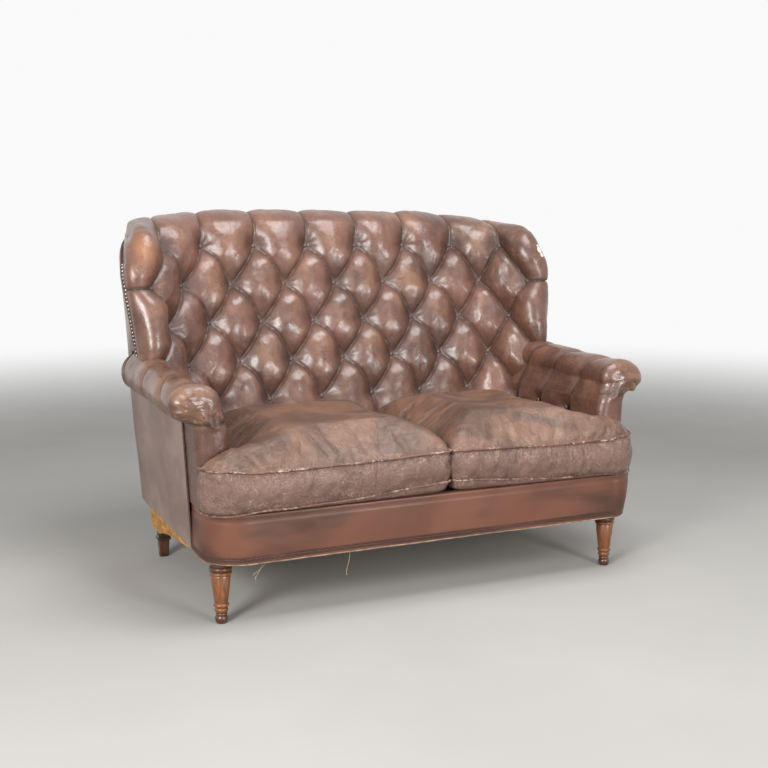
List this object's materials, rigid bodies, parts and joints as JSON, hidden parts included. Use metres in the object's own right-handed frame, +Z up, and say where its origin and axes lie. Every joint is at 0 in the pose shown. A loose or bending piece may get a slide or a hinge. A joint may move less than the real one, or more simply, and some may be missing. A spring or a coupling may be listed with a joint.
{
  "type": "wing sofa",
  "caption": "Worn leather wing sofa with a deep-buttoned back, rolled arms, loose crowned seat cushions and turned front legs.",
  "frame": {"origin": "on the floor, under the middle of the sofa's bounding box", "axes": "+Z up, the seat faces -Y, +X to the right of a person who looks at the front"},
  "size_m": [1.4318, 0.9485, 1.0662],
  "materials": {
    "worn_leather": "worn, cracked, half gloss",
    "seat_leather": "scuffed, dull",
    "side_leather": "dull",
    "raw_leather_edge": "raw edge",
    "stained_leg_wood": "stained and varnished",
    "dark_leg_wood": "dark stained",
    "bare_frame_wood": "bare",
    "spring_steel": "dull",
    "jute_webbing": "woven",
    "hessian_cloth": "woven",
    "seat_deck_cloth": "woven, dark"
  },
  "bodies": {
    "root": {"arm_left": "worn_leather", "arm_post_left": "bare_frame_wood", "arm_post_right": "bare_frame_wood", "arm_rail_left": "bare_frame_wood", "arm_rail_right": "bare_frame_wood", "arm_right": "worn_leather", "back_lower_rail": "bare_frame_wood", "back_post_left": "bare_frame_wood", "back_post_right": "bare_frame_wood", "back_seat_rail": "bare_frame_wood", "back_top_rail": "bare_frame_wood", "back_web_1": "jute_webbing", "back_web_2": "jute_webbing", "back_web_3": "jute_webbing", "back_web_4": "jute_webbing", "back_web_5": "jute_webbing", "base_welt": "raw_leather_edge", "bottom_cloth": "hessian_cloth", "front_border": "worn_leather", "front_corner_block_left": "bare_frame_wood", "front_corner_block_right": "bare_frame_wood", "front_leg_left": "stained_leg_wood", "front_leg_right": "stained_leg_wood", "front_seat_rail": "bare_frame_wood", "inside_back": "worn_leather", "outside_arm_left": "side_leather", "outside_arm_right": "side_leather", "outside_back": "side_leather", "outside_wing_left": "worn_leather", "outside_wing_right": "worn_leather", "rear_corner_block_left": "bare_frame_wood", "rear_corner_block_right": "bare_frame_wood", "rear_leg_left": "dark_leg_wood", "rear_leg_right": "dark_leg_wood", "seat_brace": "bare_frame_wood", "seat_cushion_left": "seat_leather", "seat_cushion_right": "seat_leather", "seat_deck": "seat_deck_cloth", "seat_spring_1": "spring_steel", "seat_spring_2": "spring_steel", "seat_spring_3": "spring_steel", "seat_spring_4": "spring_steel", "seat_spring_5": "spring_steel", "seat_spring_6": "spring_steel", "side_rail_left": "bare_frame_wood", "side_rail_right": "bare_frame_wood", "wing_post_left": "bare_frame_wood", "wing_post_right": "bare_frame_wood", "wing_rail_left": "bare_frame_wood", "wing_rail_right": "bare_frame_wood"}
  },
  "joints": []
}
